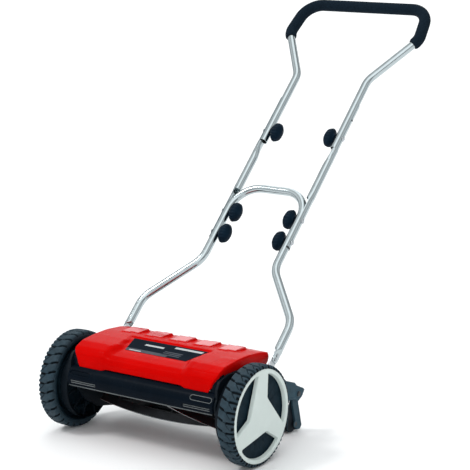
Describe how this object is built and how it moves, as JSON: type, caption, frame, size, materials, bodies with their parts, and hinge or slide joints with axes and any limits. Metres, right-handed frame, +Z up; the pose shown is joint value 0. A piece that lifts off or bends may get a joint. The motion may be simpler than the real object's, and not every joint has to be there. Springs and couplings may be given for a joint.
{
  "type": "reel mower",
  "caption": "Hand-pushed reel mower: two treaded wheels drive a helical blade reel under a moulded cover, with a height-adjustable rear roller and a long looped tube handle.",
  "frame": {"origin": "on the ground under the middle of the mower's outline", "axes": "+Z up, +X sideways towards the right wheel as the user stands behind the handle and looks forwards, -Y is the driving direction, so the handle rises towards +Y"},
  "size_m": [0.5974, 1.1245, 1.038],
  "materials": {
    "red_cover": "glossy moulded plastic",
    "black_housing": "satin moulded plastic",
    "frame_black": "satin glass-filled plastic",
    "label_print": "printed film label without lettering",
    "zinc_steel": "zinc plated",
    "dark_screws": "blackened steel",
    "blade_steel": "hardened steel with bright ground edges",
    "gear_plastic": "moulded nylon",
    "tyre_black": "chunky hard rubber tread",
    "cap_grey": "light grey moulded plastic",
    "tube_silver": "silver coated steel tube",
    "knob_black": "satin moulded plastic",
    "foam_black": "closed-cell foam",
    "roller_black": "satin plastic"
  },
  "bodies": {
    "chassis": {"side_plate_left": "frame_black", "side_plate_right": "frame_black", "front_housing": "black_housing", "top_cover": "red_cover", "cover_label": "label_print", "cover_screws": "dark_screws", "housing_screws": "dark_screws", "tie_bar": "zinc_steel", "bed_bar": "frame_black", "bed_knife": "blade_steel", "bed_knife_screws": "dark_screws", "axle_left": "zinc_steel", "axle_right": "zinc_steel", "wheel_nut_left": "zinc_steel", "wheel_nut_right": "zinc_steel", "reel_bearing_left": "zinc_steel", "reel_bearing_right": "zinc_steel", "height_bracket_left": "frame_black", "height_bracket_right": "frame_black", "bracket_screws": "zinc_steel", "arm_pivot_bolts": "zinc_steel", "handle_pivot_bolts": "zinc_steel"},
    "wheel_left": {"tyre_left": "tyre_black", "wheel_hub_left": "gear_plastic", "wheel_cap_left": "cap_grey"},
    "wheel_right": {"tyre_right": "tyre_black", "wheel_hub_right": "gear_plastic", "wheel_cap_right": "cap_grey"},
    "reel": {"reel_shaft": "zinc_steel", "reel_spider_left": "blade_steel", "reel_spider_middle": "blade_steel", "reel_spider_right": "blade_steel", "reel_blade_1": "blade_steel", "reel_blade_2": "blade_steel", "reel_blade_3": "blade_steel", "reel_blade_4": "blade_steel", "reel_blade_5": "blade_steel", "pinion_left": "zinc_steel", "pinion_right": "zinc_steel", "pawl_left": "dark_screws", "pawl_right": "dark_screws"},
    "roller_carrier": {"roller_arm_left": "frame_black", "roller_arm_right": "frame_black", "roller_axle": "zinc_steel"},
    "roller": {"roller": "roller_black"},
    "handle": {"lower_handle_tube": "tube_silver", "handle_strap_left": "zinc_steel", "handle_strap_right": "zinc_steel", "strap_screws": "zinc_steel", "handle_strut_left": "tube_silver", "handle_strut_right": "tube_silver", "upper_handle_tube": "tube_silver", "foam_grip": "foam_black", "handle_bolts": "zinc_steel"},
    "knob_upper_left": {"knob_upper_left": "knob_black"},
    "knob_upper_right": {"knob_upper_right": "knob_black"},
    "knob_middle_left": {"knob_middle_left": "knob_black"},
    "knob_middle_right": {"knob_middle_right": "knob_black"},
    "knob_lower_left": {"knob_lower_left": "knob_black"},
    "knob_lower_right": {"knob_lower_right": "knob_black"}
  },
  "joints": [
    {"name": "wheel_left_spin", "type": "hinge", "parent": "chassis", "child": "wheel_left", "pos_m": [-0.275, -0.43721, 0.125], "axis": [1, 0, 0], "continuous": true},
    {"name": "wheel_right_spin", "type": "hinge", "parent": "chassis", "child": "wheel_right", "pos_m": [0.275, -0.43721, 0.125], "axis": [1, 0, 0], "continuous": true},
    {"name": "reel_spin", "type": "hinge", "parent": "chassis", "child": "reel", "pos_m": [0, -0.37774, 0.117], "axis": [1, 0, 0], "continuous": true},
    {"name": "roller_height", "type": "hinge", "parent": "chassis", "child": "roller_carrier", "pos_m": [0, -0.17721, 0.1045], "axis": [1, 0, 0], "range_deg": [0, 70]},
    {"name": "roller_spin", "type": "hinge", "parent": "roller_carrier", "child": "roller", "pos_m": [0, -0.17421, 0.022], "axis": [1, 0, 0], "continuous": true},
    {"name": "handle_tilt", "type": "hinge", "parent": "chassis", "child": "handle", "pos_m": [0, -0.33187, 0.177], "axis": [1, 0, 0], "range_deg": [0, 80]},
    {"name": "knob_upper_left_turn", "type": "hinge", "parent": "handle", "child": "knob_upper_left", "pos_m": [-0.09, 0.20927, 0.69775], "axis": [1, 0, 0], "continuous": true},
    {"name": "knob_upper_right_turn", "type": "hinge", "parent": "handle", "child": "knob_upper_right", "pos_m": [0.09, 0.20927, 0.69775], "axis": [1, 0, 0], "continuous": true},
    {"name": "knob_middle_left_turn", "type": "hinge", "parent": "handle", "child": "knob_middle_left", "pos_m": [-0.09, 0.01039, 0.50637], "axis": [1, 0, 0], "continuous": true},
    {"name": "knob_middle_right_turn", "type": "hinge", "parent": "handle", "child": "knob_middle_right", "pos_m": [0.09, 0.01039, 0.50637], "axis": [1, 0, 0], "continuous": true},
    {"name": "knob_lower_left_turn", "type": "hinge", "parent": "handle", "child": "knob_lower_left", "pos_m": [-0.09, -0.04004, 0.45783], "axis": [1, 0, 0], "continuous": true},
    {"name": "knob_lower_right_turn", "type": "hinge", "parent": "handle", "child": "knob_lower_right", "pos_m": [0.09, -0.04004, 0.45783], "axis": [1, 0, 0], "continuous": true}
  ],
  "couplings": [
    {"joint": "wheel_right_spin", "follows": "wheel_left_spin", "ratio": 1},
    {"joint": "reel_spin", "follows": "wheel_left_spin", "ratio": 5}
  ]
}
